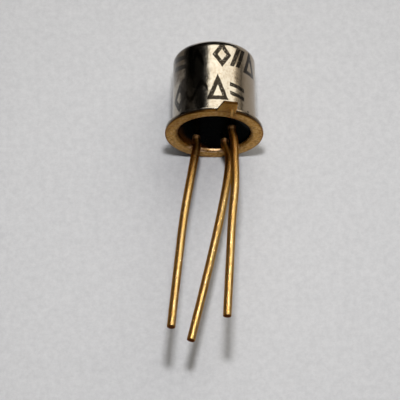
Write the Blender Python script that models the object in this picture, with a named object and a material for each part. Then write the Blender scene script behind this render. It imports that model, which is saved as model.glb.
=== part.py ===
"""Metal-can transistor with three wire leads, lying on its side.

The can's own frame has its origin at the centre of the flange's outer face. +Z runs out
along the leads, the cap lies towards -Z, and +Y is the side that faces up as the can lies.
Heights in the profiles below count the other way, from the flange's outer face into the can.
The whole can then leans back until its brim and the cap's top edge both touch the surface.
"""

import math

import bmesh
import bpy
from mathutils import Matrix, Vector

MM = 0.001

# Header: the plated eyelet, stamped from one sheet
FLANGE_RADIUS = 2.80 * MM
FLANGE_THICKNESS = 0.15 * MM
FLANGE_EDGE_ROUND = 0.04 * MM
CUP_RADIUS = 2.07 * MM
CUP_WALL = 0.13 * MM
LIP_ROUND = 0.16 * MM
CUP_CORNER_ROUND = 0.20 * MM
CUP_INNER_ROUND = 0.07 * MM
DECK_HEIGHT = 1.20 * MM
DECK_THICKNESS = 0.16 * MM

# Locating tab on the flange
TAB_BEARING = 14.2
TAB_LENGTH = 1.00 * MM
TAB_TIP_WIDTH = 0.84 * MM
TAB_ROOT_WIDTH = 1.12 * MM
TAB_ROOT_ROUND = 0.14 * MM
TAB_CORNER_ROUND = 0.07 * MM
TAB_OVERLAP = 0.20 * MM

# Cap: the drawn can that fits over the cup and is welded to the flange
CAP_HEIGHT = 4.83 * MM
CAP_WALL = 0.18 * MM
CAP_CLEARANCE = 0.02 * MM
CAP_DRAFT = 0.07 * MM
CAP_TOP_ROUND = 0.50 * MM
BRIM_SETBACK = 0.03 * MM
BRIM_BEND_ROUND = 0.12 * MM
BRIM_EDGE_ROUND = 0.03 * MM

# Leads
LEAD_DIAMETER = 0.47 * MM
LEAD_CIRCLE_RADIUS = 1.18 * MM
LEAD_BEARINGS_FROM_TAB = (45.0, 135.0, 225.0)
LEAD_TIP_ROUND = 0.03 * MM
POST_HEIGHT = 0.55 * MM
POST_HEAD_DIAMETER = 0.62 * MM
POST_HEAD_THICKNESS = 0.12 * MM
STRAIGHT_RUN = 0.10 * MM

# How far each lead reaches out of the can, and how it was bent by hand. A bend is given in
# hundredths of that reach: out along the axis, then to the right and up from its place in the glass.
LEAD_1_REACH = 11.76 * MM
LEAD_2_REACH = 12.48 * MM
LEAD_3_REACH = 12.20 * MM
LEAD_1_BENDS = (
    (5, 0.8, 0.0), (14, 1.15, 0.0), (30, 1.3, 0.0), (48, -0.15, 0.0), (72, -1.3, 0.0), (100, -2.65, 0.0),
)
LEAD_2_BENDS = (
    (6, 1.9, 0.0), (14, 1.7, 0.0), (26, 0.0, 0.0), (40, -2.5, 0.0), (56, -5.7, 0.0), (80, -10.9, 0.0),
    (100, -15.4, 0.0),
)
LEAD_3_BENDS = (
    (3, 0.35, 0.1), (10, -0.9, 0.6), (22, -2.8, 1.35), (41, -5.65, 2.45), (61, -7.75, 3.6),
    (83, -9.9, 4.9), (100, -11.5, 5.9),
)
HUNDREDTHS = 100

# Glass seal
GLASS_RECESS = 0.24 * MM
WALL_MENISCUS = 0.10 * MM
LEAD_MENISCUS = 0.12 * MM
GLASS_BACK_ROUND = 0.20 * MM
FEEDTHROUGH_DIAMETER = 0.98 * MM

# Chip, its preform and its bonds
DIE_SIDE = 0.56 * MM
DIE_THICKNESS = 0.15 * MM
PAD_SIDE = 0.11 * MM
PAD_THICKNESS = 0.006 * MM
PAD_OFFSET = 0.17 * MM
ATTACH_MARGIN = 0.05 * MM
ATTACH_THICKNESS = 0.03 * MM
BOND_DIAMETER = 0.030 * MM
BOND_BALL_DIAMETER = 0.080 * MM
BOND_LOOP = 0.22 * MM
DECK_BOND_REACH = 0.62 * MM

# Gap kept between pieces that touch
SEAT_GAP = 0.005 * MM

# How finely round shapes are cut
FACETS = 48
WIRE_SIDES = 18
COLLAR_FACETS = 24
BOND_SIDES = 8
BOND_STEPS = 12
ARC_STEPS = 5
EDGE_STEPS = 3
TOP_STEPS = 8
WIRE_STEP = 0.55 * MM
MERGE = 0.00001 * MM

# Colours
GOLD = (0.80, 0.58, 0.24)
NICKEL = (0.66, 0.64, 0.60)
DARK_GLASS = (0.010, 0.022, 0.020)
SILICON = (0.16, 0.17, 0.20)


def clear_scene():
    """Removes whatever the scene starts with."""
    for obj in list(bpy.data.objects):
        bpy.data.objects.remove(obj, do_unlink=True)


def make_material(name, colour, metallic, roughness):
    """A plain Principled material."""
    material = bpy.data.materials.new(name)
    material.use_nodes = True
    shader = material.node_tree.nodes["Principled BSDF"]
    shader.inputs["Base Color"].default_value = (*colour, 1.0)
    shader.inputs["Metallic"].default_value = metallic
    shader.inputs["Roughness"].default_value = roughness
    return material


def add_part(name, shape, material, parent):
    """Makes one named object from a bmesh, shaded smooth between its sharp edges."""
    bmesh.ops.remove_doubles(shape, verts=shape.verts, dist=MERGE)
    bmesh.ops.recalc_face_normals(shape, faces=shape.faces)
    mesh = bpy.data.meshes.new(name)
    shape.to_mesh(mesh)
    shape.free()
    if material:
        mesh.materials.append(material)
    mesh.shade_smooth()
    mesh.set_sharp_from_angle(angle=math.radians(40))
    obj = bpy.data.objects.new(name, mesh)
    bpy.context.scene.collection.objects.link(obj)
    obj.parent = parent
    return obj


def add_tool(name, shape, parent):
    """Makes a hidden object that only cuts or adds to another one."""
    tool = add_part(name, shape, None, parent)
    tool.hide_render = True
    tool.display_type = "WIRE"
    return tool


def combine(obj, tool, operation):
    """Cuts the tool from the object, or joins it on, with a live Boolean."""
    boolean = obj.modifiers.new(tool.name, "BOOLEAN")
    boolean.solver = "EXACT"
    boolean.operation = operation
    boolean.object = tool


def arc(centre, radius, start, end, steps=ARC_STEPS):
    """Points on a circle from start to end degrees, as (across, along) pairs."""
    angles = [math.radians(start + (end - start) * i / steps) for i in range(steps + 1)]
    return [(centre[0] + radius * math.cos(a), centre[1] + radius * math.sin(a)) for a in angles]


def at_bearing(bearing, radius, along=0.0):
    """A point in the can's frame, by its bearing clockwise from +Y as seen from the leads."""
    turn = math.radians(bearing)
    return Vector((radius * math.sin(turn), radius * math.cos(turn), along))


def revolve(shape, profile, facets, centre=(0.0, 0.0)):
    """Turns a closed profile of (radius, height into the can) round an axis along Z.

    The first edge stands half a facet off, so that a flat facet faces straight down.
    """
    turn = math.pi / facets
    ring = [
        shape.verts.new((centre[0] + r * math.cos(turn), centre[1] + r * math.sin(turn), -h))
        for r, h in profile
    ]
    edges = [shape.edges.new((a, b)) for a, b in zip(ring, ring[1:] + ring[:1])]
    bmesh.ops.spin(
        shape,
        geom=ring + edges,
        cent=(*centre, 0.0),
        axis=(0, 0, 1),
        angle=2 * math.pi,
        steps=facets,
        use_merge=True,
    )
    bmesh.ops.remove_doubles(shape, verts=shape.verts, dist=MERGE)
    on_axis = [e for e in shape.edges if not e.link_faces]
    bmesh.ops.delete(shape, geom=on_axis, context="EDGES")


def sweep(shape, path, radii, sides):
    """Runs a circle along a path of points, with a radius at each, and closes both ends."""
    rings = []
    side = Vector((1.0, 0.0, 0.0))
    for i, point in enumerate(path):
        ahead = (path[min(i + 1, len(path) - 1)] - path[max(i - 1, 0)]).normalized()
        side = (side - ahead * side.dot(ahead)).normalized()
        other = ahead.cross(side)
        turns = [2 * math.pi * (k + 0.5) / sides for k in range(sides)]
        rings.append([
            shape.verts.new(point + radii[i] * (side * math.cos(t) + other * math.sin(t)))
            for t in turns
        ])
    for near, far in zip(rings, rings[1:]):
        for k in range(sides):
            shape.faces.new((near[k - 1], near[k], far[k], far[k - 1]))
    shape.faces.new(list(reversed(rings[0])))
    shape.faces.new(rings[-1])


def header_profile():
    """Half section of the eyelet: seating face, rim, cup wall, deck, and back down inside."""
    wall = CUP_RADIUS + CUP_WALL
    edge = FLANGE_EDGE_ROUND
    outer, inner = CUP_CORNER_ROUND, CUP_INNER_ROUND
    under_deck = DECK_HEIGHT - DECK_THICKNESS
    return [
        *arc((CUP_RADIUS + LIP_ROUND, LIP_ROUND), LIP_ROUND, 180, 270),
        *arc((FLANGE_RADIUS - edge, edge), edge, 270, 360, EDGE_STEPS),
        *arc((FLANGE_RADIUS - edge, FLANGE_THICKNESS - edge), edge, 0, 90, EDGE_STEPS),
        *arc((wall + edge, FLANGE_THICKNESS + edge), edge, 270, 180, EDGE_STEPS),
        *arc((wall - outer, DECK_HEIGHT - outer), outer, 0, 90),
        (0.0, DECK_HEIGHT),
        (0.0, under_deck),
        *arc((CUP_RADIUS - inner, under_deck - inner), inner, 90, 0, EDGE_STEPS),
    ]


def tab_outline():
    """The tab seen along the axis, pointing along +Y, with flared roots and rounded corners."""
    tip = FLANGE_RADIUS + TAB_LENGTH
    lean = math.atan2((TAB_ROOT_WIDTH - TAB_TIP_WIDTH) / 2, TAB_LENGTH)
    flank = Vector((-math.sin(lean), math.cos(lean)))
    outward = Vector((math.cos(lean), math.sin(lean)))
    foot = Vector((TAB_ROOT_WIDTH / 2, FLANGE_RADIUS))
    # The root's round touches both the rim and the flank, so its centre is one round off each.
    offset = foot + outward * TAB_ROOT_ROUND
    reach = FLANGE_RADIUS + TAB_ROOT_ROUND
    along = offset.dot(flank)
    slide = -along + math.sqrt(along**2 - offset.length_squared + reach**2)
    root = offset + flank * slide
    rim_side = math.degrees(math.atan2(-root.y, -root.x))
    flank_side = math.degrees(lean) - 180
    corner_inset = TAB_CORNER_ROUND * (1 - math.sin(lean)) / math.cos(lean)
    corner = (TAB_TIP_WIDTH / 2 - corner_inset, tip - TAB_CORNER_ROUND)
    right = [
        *arc(root, TAB_ROOT_ROUND, rim_side, flank_side),
        *arc(corner, TAB_CORNER_ROUND, math.degrees(lean), 90),
    ]
    half = [(right[0][0], right[0][1] - TAB_OVERLAP), *right]
    return half + [(-x, y) for x, y in reversed(half)]


def build_tab(shape):
    """The tab as a plate of the flange's thickness, turned to its bearing."""
    turn = Matrix.Rotation(-math.radians(TAB_BEARING), 4, "Z")
    face = shape.faces.new([shape.verts.new((x, y, 0.0)) for x, y in tab_outline()])
    plate = bmesh.ops.extrude_face_region(shape, geom=[face])
    raised = [v for v in plate["geom"] if isinstance(v, bmesh.types.BMVert)]
    bmesh.ops.translate(shape, verts=raised, vec=(0.0, 0.0, -FLANGE_THICKNESS))
    bmesh.ops.transform(shape, matrix=turn, verts=shape.verts)


def lead_bearings():
    """Bearing of each lead in the can's frame."""
    return [TAB_BEARING + bearing for bearing in LEAD_BEARINGS_FROM_TAB]


def insulated_bearings():
    """The leads that pass through the deck. The last one is welded to its underside."""
    return lead_bearings()[:-1]


def build_header(material, parent):
    """The eyelet with its tab, and a hole in the deck for each insulated lead."""
    shape = bmesh.new()
    revolve(shape, header_profile(), FACETS)
    header = add_part("header", shape, material, parent)
    tab = bmesh.new()
    build_tab(tab)
    combine(header, add_tool("tab_plate", tab, parent), "UNION")
    holes = bmesh.new()
    low = DECK_HEIGHT - 2 * DECK_THICKNESS
    hole = rod_profile(FEEDTHROUGH_DIAMETER / 2, low, DECK_HEIGHT + DECK_THICKNESS)
    for bearing in insulated_bearings():
        revolve(holes, hole, COLLAR_FACETS, at_bearing(bearing, LEAD_CIRCLE_RADIUS).xy)
    combine(header, add_tool("deck_holes", holes, parent), "DIFFERENCE")
    return header


def glass_back():
    """Height at which the glass meets the underside of the deck."""
    return DECK_HEIGHT - DECK_THICKNESS - SEAT_GAP


def glass_profile():
    """Half section of the glass: flat recessed face that climbs the cup wall, and its back."""
    wall = CUP_RADIUS - SEAT_GAP
    back = glass_back()
    rise, corner = WALL_MENISCUS, GLASS_BACK_ROUND
    return [
        (0.0, GLASS_RECESS),
        *arc((wall - rise, GLASS_RECESS - rise), rise, 90, 0),
        *arc((wall - corner, back - corner), corner, 0, 90),
        (0.0, back),
    ]


def meniscus_profile():
    """Half section of the glass that climbs a lead, down to the middle of the seal."""
    wire, rise = LEAD_DIAMETER / 2, LEAD_MENISCUS
    middle = (GLASS_RECESS + glass_back()) / 2
    return [
        (0.0, GLASS_RECESS - rise),
        *arc((wire + rise, GLASS_RECESS - rise), rise, 180, 90),
        (wire + rise, middle),
        (0.0, middle),
    ]


def rod_profile(radius, low, high):
    """Half section of a plain rod between two heights in the can."""
    return [(0.0, low), (radius, low), (radius, high), (0.0, high)]


def build_glass(material, parent):
    """The seal: one body of glass that climbs each lead and fills the holes in the deck."""
    body = bmesh.new()
    revolve(body, glass_profile(), FACETS)
    seal = add_part("glass_seal", body, material, parent)
    menisci, necks, bores = bmesh.new(), bmesh.new(), bmesh.new()
    middle = (GLASS_RECESS + glass_back()) / 2
    neck = rod_profile(FEEDTHROUGH_DIAMETER / 2 - SEAT_GAP, middle, DECK_HEIGHT)
    bore = rod_profile(LEAD_DIAMETER / 2 + SEAT_GAP, -DECK_HEIGHT, 2 * DECK_HEIGHT)
    for bearing in lead_bearings():
        spot = at_bearing(bearing, LEAD_CIRCLE_RADIUS).xy
        revolve(menisci, meniscus_profile(), COLLAR_FACETS, spot)
        revolve(bores, bore, COLLAR_FACETS, spot)
        if bearing in insulated_bearings():
            revolve(necks, neck, COLLAR_FACETS, spot)
    combine(seal, add_tool("glass_menisci", menisci, parent), "UNION")
    combine(seal, add_tool("glass_necks", necks, parent), "UNION")
    combine(seal, add_tool("glass_bores", bores, parent), "DIFFERENCE")
    return seal


def cap_profile():
    """Half section of the drawn can: top, rounded edge, drafted wall, brim, and back inside."""
    foot = FLANGE_THICKNESS + SEAT_GAP
    top = FLANGE_THICKNESS + CAP_HEIGHT
    edge, bend = BRIM_EDGE_ROUND, BRIM_BEND_ROUND
    radius = CUP_RADIUS + CUP_WALL + CAP_CLEARANCE + CAP_WALL
    brim = FLANGE_RADIUS - BRIM_SETBACK
    shoulder = (radius - CAP_DRAFT - CAP_TOP_ROUND, top - CAP_TOP_ROUND)
    heel = (radius + bend, foot + CAP_WALL + bend)
    return [
        (0.0, top),
        *arc(shoulder, CAP_TOP_ROUND, 90, 0, TOP_STEPS),
        *arc(heel, bend, 180, 270),
        *arc((brim - edge, foot + CAP_WALL - edge), edge, 90, 0, EDGE_STEPS),
        *arc((brim - edge, foot + edge), edge, 0, -90, EDGE_STEPS),
        *arc(heel, bend + CAP_WALL, 270, 180),
        *arc(shoulder, CAP_TOP_ROUND - CAP_WALL, 0, 90, TOP_STEPS),
        (0.0, top - CAP_WALL),
    ]


def build_cap(material, parent):
    """The can, open at its foot."""
    shape = bmesh.new()
    revolve(shape, cap_profile(), FACETS)
    return add_part("cap", shape, material, parent)


def smooth_run(knots, step):
    """Points on a smooth curve through knots, each (along, right, up), spaced evenly along."""
    slopes = []
    for i in range(len(knots)):
        before, after = knots[max(i - 1, 0)], knots[min(i + 1, len(knots) - 1)]
        slopes.append((after - before) / (after.z - before.z))
    points = [knots[0]]
    for i, (start, end) in enumerate(zip(knots, knots[1:])):
        length = end.z - start.z
        pieces = max(1, round(length / step))
        for k in range(1, pieces + 1):
            t = k / pieces
            points.append(
                start * (2 * t**3 - 3 * t**2 + 1)
                + slopes[i] * length * (t**3 - 2 * t**2 + t)
                + end * (3 * t**2 - 2 * t**3)
                + slopes[i + 1] * length * (t**3 - t**2)
            )
    return points


def post_head(top):
    """Half section of a post's flattened head, from its bonding face down to the wire."""
    rim = POST_HEAD_THICKNESS / 3
    crown = POST_HEAD_DIAMETER / 2 - rim
    neck = top - POST_HEAD_THICKNESS
    return [*arc((crown, top - rim), rim, 90, 0, EDGE_STEPS), (crown + rim, neck + rim),
            (LEAD_DIAMETER / 2, neck)]


def build_lead(name, bearing, reach, bends, inner_end, headed, material, parent):
    """One lead from its inner end, straight through the glass, and out along its bends."""
    wire = LEAD_DIAMETER / 2
    spot = at_bearing(bearing, LEAD_CIRCLE_RADIUS)
    knots = [spot, spot + Vector((0, 0, STRAIGHT_RUN))]
    for along, right, up in bends:
        knots.append(spot + Vector((right, up, along)) * reach / HUNDREDTHS)
    path = smooth_run(knots, WIRE_STEP)
    last = (path[-1] - path[-2]).normalized()
    tip = path.pop()
    path += [tip - last * LEAD_TIP_ROUND, tip]
    radii = [wire] * (len(path) - 1) + [wire - LEAD_TIP_ROUND]
    inside = post_head(inner_end) if headed else [(wire, inner_end)]
    path = [spot + Vector((0, 0, -height)) for _, height in inside] + path
    radii = [radius for radius, _ in inside] + radii
    shape = bmesh.new()
    sweep(shape, path, radii, WIRE_SIDES)
    return add_part(name, shape, material, parent)


def post_top():
    """Height of the bonding face on an insulated lead's post."""
    return DECK_HEIGHT + POST_HEIGHT


def build_leads(material, parent):
    """The three leads. The first two end in headed posts, the third under the deck."""
    reaches = (LEAD_1_REACH, LEAD_2_REACH, LEAD_3_REACH)
    bends = (LEAD_1_BENDS, LEAD_2_BENDS, LEAD_3_BENDS)
    for i, bearing in enumerate(lead_bearings()):
        headed = bearing in insulated_bearings()
        inner_end = post_top() if headed else glass_back()
        name = f"lead_{i + 1}"
        build_lead(name, bearing, reaches[i], bends[i], inner_end, headed, material, parent)


def add_slab(shape, side, low, high, centre=(0.0, 0.0)):
    """A square slab between two heights in the can."""
    size = Matrix.Diagonal((side, side, high - low, 1.0))
    place = Matrix.Translation((centre[0], centre[1], -(low + high) / 2))
    bmesh.ops.create_cube(shape, size=1.0, matrix=place @ size)


def die_turn():
    """Turns the chip's own +Y to the drain's post, and so its +X to the gates' post."""
    return Matrix.Rotation(-math.radians(lead_bearings()[0]), 4, "Z")


def pad_spots():
    """Centre of each bond pad in the chip's own axes, by the terminal it serves."""
    edge, inner = PAD_OFFSET, PAD_OFFSET / 2
    return {
        "drain": Vector((-inner, edge, 0.0)),
        "gate_1": Vector((edge, inner, 0.0)),
        "gate_2": Vector((edge, -inner, 0.0)),
        "source": Vector((-inner, -edge, 0.0)),
    }


def die_heights():
    """Underside and top of the chip."""
    low = DECK_HEIGHT + ATTACH_THICKNESS + 2 * SEAT_GAP
    return low, low + DIE_THICKNESS


def build_die(material, parent):
    """The chip with its raised bond pads."""
    low, high = die_heights()
    shape = bmesh.new()
    add_slab(shape, DIE_SIDE, low, high)
    bmesh.ops.transform(shape, matrix=die_turn(), verts=shape.verts)
    die = add_part("die", shape, material, parent)
    pads = bmesh.new()
    for spot in pad_spots().values():
        add_slab(pads, PAD_SIDE, high - PAD_THICKNESS, high + PAD_THICKNESS, spot)
    bmesh.ops.transform(pads, matrix=die_turn(), verts=pads.verts)
    combine(die, add_tool("die_pads", pads, parent), "UNION")
    return die


def build_die_attach(material, parent):
    """The preform between chip and deck, a little wider than the chip."""
    shape = bmesh.new()
    low = DECK_HEIGHT + SEAT_GAP
    add_slab(shape, DIE_SIDE + 2 * ATTACH_MARGIN, low, low + ATTACH_THICKNESS)
    bmesh.ops.transform(shape, matrix=die_turn(), verts=shape.verts)
    return add_part("die_attach", shape, material, parent)


def build_bond(name, start, end, material, parent):
    """One bond wire: a ball on its pad, a loop, and a foot on its post or the deck."""
    wire, ball = BOND_DIAMETER / 2, BOND_BALL_DIAMETER / 2
    squashed = ball / 2
    lift = Vector((0.0, 0.0, -1.0))
    dome = arc((ball - squashed, squashed), squashed, -60, 80)
    path = [start + lift * (height - dome[0][1]) for _, height in dome]
    radii = [radius for radius, _ in dome]
    top = path[-1] + lift * wire
    for k in range(BOND_STEPS + 1):
        t = k / BOND_STEPS
        loop = lift * BOND_LOOP * 4 * t * (1 - t)
        path.append(top.lerp(end + lift * wire, t) + loop)
        radii.append(wire)
    shape = bmesh.new()
    sweep(shape, path, radii, BOND_SIDES)
    return add_part(name, shape, material, parent)


def build_bonds(material, parent):
    """The four bond wires: drain to the first post, both gates to the second, source to deck."""
    pad_face = die_heights()[1] + PAD_THICKNESS + SEAT_GAP
    drain_post, gate_post, case_lead = lead_bearings()
    post_face = -(post_top() + SEAT_GAP)
    beside = POST_HEAD_DIAMETER / 4
    feet = {
        "drain": at_bearing(drain_post, LEAD_CIRCLE_RADIUS, post_face),
        "gate_1": at_bearing(gate_post, LEAD_CIRCLE_RADIUS, post_face),
        "gate_2": at_bearing(gate_post, LEAD_CIRCLE_RADIUS, post_face),
        "source": at_bearing(case_lead, DECK_BOND_REACH, -(DECK_HEIGHT + SEAT_GAP)),
    }
    across = at_bearing(gate_post - 90, 1.0)
    feet["gate_1"] += across * beside
    feet["gate_2"] -= across * beside
    for terminal, pad in pad_spots().items():
        start = die_turn() @ pad + Vector((0.0, 0.0, -pad_face))
        build_bond(f"bond_{terminal}", start, feet[terminal], material, parent)


def resting_lean():
    """How far the can leans back as it lies on the flange's rim and the cap's rounded edge.

    Both are measured at the middle of the flat facet that faces down.
    """
    flat = math.cos(math.pi / FACETS)
    outline = header_profile() + cap_profile()
    front = [point for point in outline if point[1] < CAP_HEIGHT / 2]
    back = [point for point in outline if point[1] > CAP_HEIGHT / 2]
    return min(max(math.atan2((f[0] - b[0]) * flat, b[1] - f[1]) for f in front) for b in back)


def place(can):
    """Lays the can down and centres the whole part over the origin."""
    can.rotation_euler = (math.pi / 2 - resting_lean(), 0.0, 0.0)
    bpy.context.view_layer.update()
    graph = bpy.context.evaluated_depsgraph_get()
    corners = []
    for part in can.children:
        if not part.hide_render:
            shown = part.evaluated_get(graph)
            corners += [shown.matrix_world @ v.co for v in shown.data.vertices]
    low = [min(corner[axis] for corner in corners) for axis in range(3)]
    high = [max(corner[axis] for corner in corners) for axis in range(3)]
    can.location = (-(low[0] + high[0]) / 2, -(low[1] + high[1]) / 2, -low[2])
    bpy.context.view_layer.update()


def main():
    """Builds every piece in the can's own frame and lays the can down."""
    clear_scene()
    can = bpy.data.objects.new("can_frame", None)
    bpy.context.scene.collection.objects.link(can)
    gold = make_material("gold_plating", GOLD, 1.0, 0.30)
    nickel = make_material("nickel", NICKEL, 1.0, 0.22)
    glass = make_material("dark_glass", DARK_GLASS, 0.0, 0.12)
    silicon = make_material("silicon", SILICON, 0.2, 0.25)
    build_header(gold, can)
    build_glass(glass, can)
    build_cap(nickel, can)
    build_leads(gold, can)
    build_die(silicon, can)
    build_die_attach(gold, can)
    build_bonds(gold, can)
    place(can)


main()
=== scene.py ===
"""Looks of the three-lead metal can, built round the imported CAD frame.

Each piece is made in the can's own frame: the origin is in the middle of the flange's outer face,
+Z runs out along the leads and +Y points up as the can lies. A piece is then laid on the paper
as the CAD part lies. Sizes are in metres, and surface patterns are measured in millimetres.
"""

import logging
import math
from dataclasses import dataclass
from enum import Enum

import bmesh
import bpy
from mathutils import Matrix, Vector

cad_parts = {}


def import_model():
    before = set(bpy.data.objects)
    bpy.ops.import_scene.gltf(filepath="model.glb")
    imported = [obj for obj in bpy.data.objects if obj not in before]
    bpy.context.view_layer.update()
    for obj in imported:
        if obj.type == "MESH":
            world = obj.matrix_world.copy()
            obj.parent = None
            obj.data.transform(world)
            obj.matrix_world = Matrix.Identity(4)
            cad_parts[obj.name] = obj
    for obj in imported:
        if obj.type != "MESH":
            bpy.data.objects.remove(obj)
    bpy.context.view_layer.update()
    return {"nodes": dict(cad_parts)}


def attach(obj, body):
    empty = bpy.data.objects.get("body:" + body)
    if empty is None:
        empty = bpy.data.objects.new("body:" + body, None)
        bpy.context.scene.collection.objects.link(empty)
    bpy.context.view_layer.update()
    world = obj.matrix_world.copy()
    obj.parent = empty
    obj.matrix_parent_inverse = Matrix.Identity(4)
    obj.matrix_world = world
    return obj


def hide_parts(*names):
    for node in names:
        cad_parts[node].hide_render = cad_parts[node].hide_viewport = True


MM = 0.001
WIRE_PLACE = "wire_place"
MERGE = 1e-9
SHARP_ANGLE = 50.0
TAB_BEARING = 14.2
LEAD_BEARINGS = (59.2, 149.2, 239.2)
LEAD_CIRCLE = 1.18 * MM
LEAD_DIAMETER = 0.47 * MM
log = logging.getLogger("metal_can")

Colour = tuple[float, float, float]
Pair = tuple[float, float]
Triple = tuple[float, float, float]
Material = bpy.types.Material
Shape = bmesh.types.BMesh
Thing = bpy.types.Object


@dataclass(frozen=True)
class Lie:
    """How the can lies: on its flange's rim and on the cap's top edge."""

    lean: float = 6.1144
    origin: Triple = (0.0, 3.7099 * MM, 2.7898 * MM)

    def turn(self) -> float:
        """Angle about X, in radians, from the can's own frame to the row frame."""
        return math.radians(90.0 - self.lean)

    def matrix(self) -> Matrix:
        """The can's own frame in the row frame."""
        return Matrix.Translation(self.origin) @ Matrix.Rotation(self.turn(), 4, "X")


LIE = Lie()


class Signal:
    """A shader socket that takes part in Python sums, each of which adds a Math node."""

    def __init__(self, tree: "Tree", socket: bpy.types.NodeSocket) -> None:
        """Wraps one output socket of a node in the tree."""
        self.tree = tree
        self.socket = socket

    def _math(self, operation: str, *values: "Signal | float") -> "Signal":
        """The result of a Math node with these inputs in order."""
        return self.tree.node("Math", {"operation": operation}, dict(enumerate(values)))

    def __add__(self, other: "Signal | float") -> "Signal":
        """self + other."""
        return self._math("ADD", self, other)

    __radd__ = __add__

    def __sub__(self, other: "Signal | float") -> "Signal":
        """self - other."""
        return self._math("SUBTRACT", self, other)

    def __rsub__(self, other: float) -> "Signal":
        """other - self."""
        return self._math("SUBTRACT", other, self)

    def __mul__(self, other: "Signal | float") -> "Signal":
        """self * other."""
        return self._math("MULTIPLY", self, other)

    __rmul__ = __mul__

    def __truediv__(self, other: "Signal | float") -> "Signal":
        """self / other."""
        return self._math("DIVIDE", self, other)

    def __rtruediv__(self, other: float) -> "Signal":
        """other / self."""
        return self._math("DIVIDE", other, self)

    def __neg__(self) -> "Signal":
        """0 - self."""
        return self._math("MULTIPLY", self, -1.0)

    def __abs__(self) -> "Signal":
        """The size without its sign."""
        return self._math("ABSOLUTE", self)

    def __pow__(self, other: float) -> "Signal":
        """self to a power."""
        return self._math("POWER", self, other)

    def sine(self) -> "Signal":
        """The sine of an angle in radians."""
        return self._math("SINE", self)

    def least(self, other: "Signal | float") -> "Signal":
        """The smaller of two."""
        return self._math("MINIMUM", self, other)

    def most(self, other: "Signal | float") -> "Signal":
        """The larger of two."""
        return self._math("MAXIMUM", self, other)

    def bearing(self, other: "Signal") -> "Signal":
        """The angle whose tangent is self / other, in radians."""
        return self._math("ARCTAN2", self, other)

    def beyond(self, low: float, high: float) -> "Signal":
        """A smooth step from 0 at low to 1 at high. It falls where high is the smaller."""
        ends = {"Value": self, "From Min": low, "From Max": high}
        return self.tree.node("MapRange", {"interpolation_type": "SMOOTHSTEP"}, ends)


class Tree:
    """Builds one material, or the world, out of nodes."""

    def __init__(self, owner: bpy.types.ID) -> None:
        """Empties the owner's node tree.

        Args:
            owner: A material or a world.
        """
        owner.use_nodes = True
        self.owner = owner
        self.tree = owner.node_tree
        self.tree.nodes.clear()

    def node(
        self,
        kind: str,
        settings: dict | None = None,
        inputs: dict | None = None,
        output: int | str = 0,
    ) -> "Signal | None":
        """Adds a node.

        Args:
            kind: The node's type without the ShaderNode at its front.
            settings: Its properties, which are set first.
            inputs: Values or signals by socket name or number.
            output: The output socket that is wanted.

        Returns:
            That output, or None where the node has none.
        """
        made = self.tree.nodes.new("ShaderNode" + kind)
        for name, value in (settings or {}).items():
            setattr(made, name, value)
        for key, value in (inputs or {}).items():
            if isinstance(value, Signal):
                self.tree.links.new(value.socket, made.inputs[key])
            else:
                made.inputs[key].default_value = value
        return Signal(self, made.outputs[output]) if made.outputs else None

    def object_place(self) -> Signal:
        """The place on the piece in the row frame."""
        return self.node("TexCoord", output="Object")

    def can_place(self) -> Signal:
        """Reads the place on the piece in the can's own frame.

        Returns:
            The place, in millimetres.
        """
        inputs = {
            "Vector": self.object_place(),
            "Location": LIE.origin,
            "Rotation": (LIE.turn(), 0.0, 0.0),
            "Scale": (MM, MM, MM),
        }
        return self.node("Mapping", {"vector_type": "TEXTURE"}, inputs)

    def wire_place(self) -> Signal:
        """The place on a wire as if it were straight: across, across and along, in millimetres."""
        settings = {"attribute_name": WIRE_PLACE}
        return self.node("Attribute", settings, output="Vector")

    def stretched(self, place: Signal, scale: Triple) -> Signal:
        """The place with each direction scaled on its own."""
        return self.node("Mapping", inputs={"Vector": place, "Scale": scale})

    def split(self, place: Signal) -> tuple[Signal, Signal, Signal]:
        """The three numbers of a vector."""
        parts = self.node("SeparateXYZ", inputs={"Vector": place}).socket.node
        return tuple(Signal(self, socket) for socket in parts.outputs)

    def noise(self, place: Signal, scale: float, detail: float = 2.0, rough: float = 0.5) -> Signal:
        """Soft noise round 0.5.

        Args:
            place: Where it is read, in millimetres.
            scale: How many waves fit in a millimetre.
            detail: Octaves of finer noise.
            rough: How strong those are.

        Returns:
            The noise.
        """
        inputs = {"Vector": place, "Scale": scale, "Detail": detail, "Roughness": rough}
        return self.node("TexNoise", inputs=inputs)

    def cells(self, place: Signal, scale: float) -> Signal:
        """Distance to the nearest of scattered points, in units of their pitch."""
        return self.node("TexVoronoi", inputs={"Vector": place, "Scale": scale})

    def layered(self, base: Signal | Colour, *layers: tuple[Signal, Colour]) -> Signal:
        """Lays colours over a base, one after another.

        Args:
            base: The base's colour.
            layers: How much of each colour shows, and that colour.

        Returns:
            The colour of them all.
        """
        for share, colour in layers:
            under = (*base, 1.0) if isinstance(base, tuple) else base
            inputs = {0: share, 6: under, 7: (*colour, 1.0)}
            base = self.node("Mix", {"data_type": "RGBA"}, inputs, 2)
        return base

    def relief(self, height: Signal, depth: float, under: Signal | None = None) -> Signal:
        """A normal from a height.

        Args:
            height: The height in units of depth.
            depth: What a height of 1 is, in metres.
            under: A coarser relief that this one lies on.

        Returns:
            The normal.
        """
        inputs = {"Height": height, "Distance": depth, "Strength": 1.0}
        if under:
            inputs["Normal"] = under
        return self.node("Bump", inputs=inputs)

    def surface(self, values: dict) -> Material:
        """Ends a material with a Principled shader.

        Args:
            values: The shader's values or signals by socket name.

        Returns:
            The material.
        """
        shader = self.node("BsdfPrincipled", inputs=values)
        self.node("OutputMaterial", inputs={"Surface": shader})
        return self.owner


def new_material(name: str) -> Tree:
    """An empty material to build."""
    return Tree(bpy.data.materials.new(name))


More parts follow.
